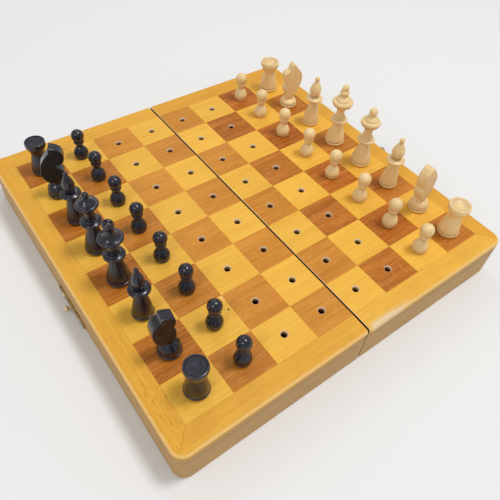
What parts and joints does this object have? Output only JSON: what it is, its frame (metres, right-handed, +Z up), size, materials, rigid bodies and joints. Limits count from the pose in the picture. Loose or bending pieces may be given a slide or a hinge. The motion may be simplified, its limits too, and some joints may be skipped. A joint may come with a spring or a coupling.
{
  "type": "folding travel chess box",
  "caption": "Hinged wooden box that opens flat into a chess board with peg holes, with turned and sawn peg-in pieces standing on it and a small brass ball-and-hasp clasp.",
  "frame": {"origin": "on the hinge axis, at the middle of the seam, in the plane of the rims that the open board rests on", "axes": "+X across the seam from the black half to the white half, +Y along the hinge axis to the far end, +Z up out of the playing surface"},
  "size_m": [0.2235, 0.2, 0.0644],
  "materials": {
    "wall_wood": "thin varnish over pale hardwood",
    "panel_wood": "thin varnish over pale hardwood",
    "border_wood": "honey varnish, semi-gloss",
    "light_square_wood": "honey varnish, semi-gloss",
    "dark_square_wood": "brown stain under varnish, semi-gloss",
    "black_man_wood": "black stain, polished",
    "white_man_wood": "thin clear polish",
    "brass": "dull brass plate",
    "screw_brass": "plated steel, bright"
  },
  "bodies": {
    "black_half": {"black_half_outer_wall": "wall_wood", "black_half_inner_wall": "wall_wood", "black_half_near_wall": "wall_wood", "black_half_far_wall": "wall_wood", "black_half_panel": "panel_wood", "black_half_border": "border_wood", "black_half_dark_squares": "dark_square_wood", "black_half_light_squares": "light_square_wood", "black_half_hinge_leaves": "brass", "black_half_hinge_screws": "screw_brass", "hinge_pins": "brass", "stud_plate": "brass", "ball_stud": "brass", "stud_screws": "screw_brass"},
    "white_half": {"white_half_outer_wall": "wall_wood", "white_half_inner_wall": "wall_wood", "white_half_near_wall": "wall_wood", "white_half_far_wall": "wall_wood", "white_half_panel": "panel_wood", "white_half_border": "border_wood", "white_half_dark_squares": "dark_square_wood", "white_half_light_squares": "light_square_wood", "white_half_hinge_leaves": "brass", "white_half_hinge_screws": "screw_brass", "hasp_plate": "brass", "hasp_pin": "brass", "hasp_screws": "screw_brass"},
    "hasp_flap": {"hasp_flap": "brass"},
    "black_rook_near": {"black_rook_near": "black_man_wood"},
    "black_knight_near": {"black_knight_near": "black_man_wood"},
    "black_bishop_near": {"black_bishop_near": "black_man_wood"},
    "black_king": {"black_king": "black_man_wood"},
    "black_queen": {"black_queen": "black_man_wood"},
    "black_bishop_far": {"black_bishop_far": "black_man_wood"},
    "black_knight_far": {"black_knight_far": "black_man_wood"},
    "black_rook_far": {"black_rook_far": "black_man_wood"},
    "black_pawn_1": {"black_pawn_1": "black_man_wood"},
    "black_pawn_2": {"black_pawn_2": "black_man_wood"},
    "black_pawn_3": {"black_pawn_3": "black_man_wood"},
    "black_pawn_4": {"black_pawn_4": "black_man_wood"},
    "black_pawn_5": {"black_pawn_5": "black_man_wood"},
    "black_pawn_6": {"black_pawn_6": "black_man_wood"},
    "black_pawn_7": {"black_pawn_7": "black_man_wood"},
    "black_pawn_8": {"black_pawn_8": "black_man_wood"},
    "white_rook_near": {"white_rook_near": "white_man_wood"},
    "white_knight_near": {"white_knight_near": "white_man_wood"},
    "white_bishop_near": {"white_bishop_near": "white_man_wood"},
    "white_queen": {"white_queen": "white_man_wood"},
    "white_king": {"white_king": "white_man_wood"},
    "white_bishop_far": {"white_bishop_far": "white_man_wood"},
    "white_knight_far": {"white_knight_far": "white_man_wood"},
    "white_rook_far": {"white_rook_far": "white_man_wood"},
    "white_pawn_1": {"white_pawn_1": "white_man_wood"},
    "white_pawn_2": {"white_pawn_2": "white_man_wood"},
    "white_pawn_3": {"white_pawn_3": "white_man_wood"},
    "white_pawn_4": {"white_pawn_4": "white_man_wood"},
    "white_pawn_5": {"white_pawn_5": "white_man_wood"},
    "white_pawn_6": {"white_pawn_6": "white_man_wood"},
    "white_pawn_7": {"white_pawn_7": "white_man_wood"},
    "white_pawn_8": {"white_pawn_8": "white_man_wood"}
  },
  "joints": [
    {"name": "board_fold", "type": "hinge", "parent": "black_half", "child": "white_half", "pos_m": [0, 0, 0], "axis": [0, 1, 0], "range_deg": [0, 180]},
    {"name": "hasp_swing", "type": "hinge", "parent": "white_half", "child": "hasp_flap", "pos_m": [0.1019, 0, 0.01], "axis": [0, 1, 0], "range_deg": [-94, 76]},
    {"name": "black_rook_near_lift", "type": "slide", "parent": "black_half", "child": "black_rook_near", "axis": [0, 0, 1], "range_m": [0, 0.012]},
    {"name": "black_knight_near_lift", "type": "slide", "parent": "black_half", "child": "black_knight_near", "axis": [0, 0, 1], "range_m": [0, 0.012]},
    {"name": "black_bishop_near_lift", "type": "slide", "parent": "black_half", "child": "black_bishop_near", "axis": [0, 0, 1], "range_m": [0, 0.012]},
    {"name": "black_king_lift", "type": "slide", "parent": "black_half", "child": "black_king", "axis": [0, 0, 1], "range_m": [0, 0.012]},
    {"name": "black_queen_lift", "type": "slide", "parent": "black_half", "child": "black_queen", "axis": [0, 0, 1], "range_m": [0, 0.012]},
    {"name": "black_bishop_far_lift", "type": "slide", "parent": "black_half", "child": "black_bishop_far", "axis": [0, 0, 1], "range_m": [0, 0.012]},
    {"name": "black_knight_far_lift", "type": "slide", "parent": "black_half", "child": "black_knight_far", "axis": [0, 0, 1], "range_m": [0, 0.012]},
    {"name": "black_rook_far_lift", "type": "slide", "parent": "black_half", "child": "black_rook_far", "axis": [0, 0, 1], "range_m": [0, 0.012]},
    {"name": "black_pawn_1_lift", "type": "slide", "parent": "black_half", "child": "black_pawn_1", "axis": [0, 0, 1], "range_m": [0, 0.012]},
    {"name": "black_pawn_2_lift", "type": "slide", "parent": "black_half", "child": "black_pawn_2", "axis": [0, 0, 1], "range_m": [0, 0.012]},
    {"name": "black_pawn_3_lift", "type": "slide", "parent": "black_half", "child": "black_pawn_3", "axis": [0, 0, 1], "range_m": [0, 0.012]},
    {"name": "black_pawn_4_lift", "type": "slide", "parent": "black_half", "child": "black_pawn_4", "axis": [0, 0, 1], "range_m": [0, 0.012]},
    {"name": "black_pawn_5_lift", "type": "slide", "parent": "black_half", "child": "black_pawn_5", "axis": [0, 0, 1], "range_m": [0, 0.012]},
    {"name": "black_pawn_6_lift", "type": "slide", "parent": "black_half", "child": "black_pawn_6", "axis": [0, 0, 1], "range_m": [0, 0.012]},
    {"name": "black_pawn_7_lift", "type": "slide", "parent": "black_half", "child": "black_pawn_7", "axis": [0, 0, 1], "range_m": [0, 0.012]},
    {"name": "black_pawn_8_lift", "type": "slide", "parent": "black_half", "child": "black_pawn_8", "axis": [0, 0, 1], "range_m": [0, 0.012]},
    {"name": "white_rook_near_lift", "type": "slide", "parent": "white_half", "child": "white_rook_near", "axis": [0, 0, 1], "range_m": [0, 0.012]},
    {"name": "white_knight_near_lift", "type": "slide", "parent": "white_half", "child": "white_knight_near", "axis": [0, 0, 1], "range_m": [0, 0.012]},
    {"name": "white_bishop_near_lift", "type": "slide", "parent": "white_half", "child": "white_bishop_near", "axis": [0, 0, 1], "range_m": [0, 0.012]},
    {"name": "white_queen_lift", "type": "slide", "parent": "white_half", "child": "white_queen", "axis": [0, 0, 1], "range_m": [0, 0.012]},
    {"name": "white_king_lift", "type": "slide", "parent": "white_half", "child": "white_king", "axis": [0, 0, 1], "range_m": [0, 0.012]},
    {"name": "white_bishop_far_lift", "type": "slide", "parent": "white_half", "child": "white_bishop_far", "axis": [0, 0, 1], "range_m": [0, 0.012]},
    {"name": "white_knight_far_lift", "type": "slide", "parent": "white_half", "child": "white_knight_far", "axis": [0, 0, 1], "range_m": [0, 0.012]},
    {"name": "white_rook_far_lift", "type": "slide", "parent": "white_half", "child": "white_rook_far", "axis": [0, 0, 1], "range_m": [0, 0.012]},
    {"name": "white_pawn_1_lift", "type": "slide", "parent": "white_half", "child": "white_pawn_1", "axis": [0, 0, 1], "range_m": [0, 0.012]},
    {"name": "white_pawn_2_lift", "type": "slide", "parent": "white_half", "child": "white_pawn_2", "axis": [0, 0, 1], "range_m": [0, 0.012]},
    {"name": "white_pawn_3_lift", "type": "slide", "parent": "white_half", "child": "white_pawn_3", "axis": [0, 0, 1], "range_m": [0, 0.012]},
    {"name": "white_pawn_4_lift", "type": "slide", "parent": "white_half", "child": "white_pawn_4", "axis": [0, 0, 1], "range_m": [0, 0.012]},
    {"name": "white_pawn_5_lift", "type": "slide", "parent": "white_half", "child": "white_pawn_5", "axis": [0, 0, 1], "range_m": [0, 0.012]},
    {"name": "white_pawn_6_lift", "type": "slide", "parent": "white_half", "child": "white_pawn_6", "axis": [0, 0, 1], "range_m": [0, 0.012]},
    {"name": "white_pawn_7_lift", "type": "slide", "parent": "white_half", "child": "white_pawn_7", "axis": [0, 0, 1], "range_m": [0, 0.012]},
    {"name": "white_pawn_8_lift", "type": "slide", "parent": "white_half", "child": "white_pawn_8", "axis": [0, 0, 1], "range_m": [0, 0.012]}
  ]
}
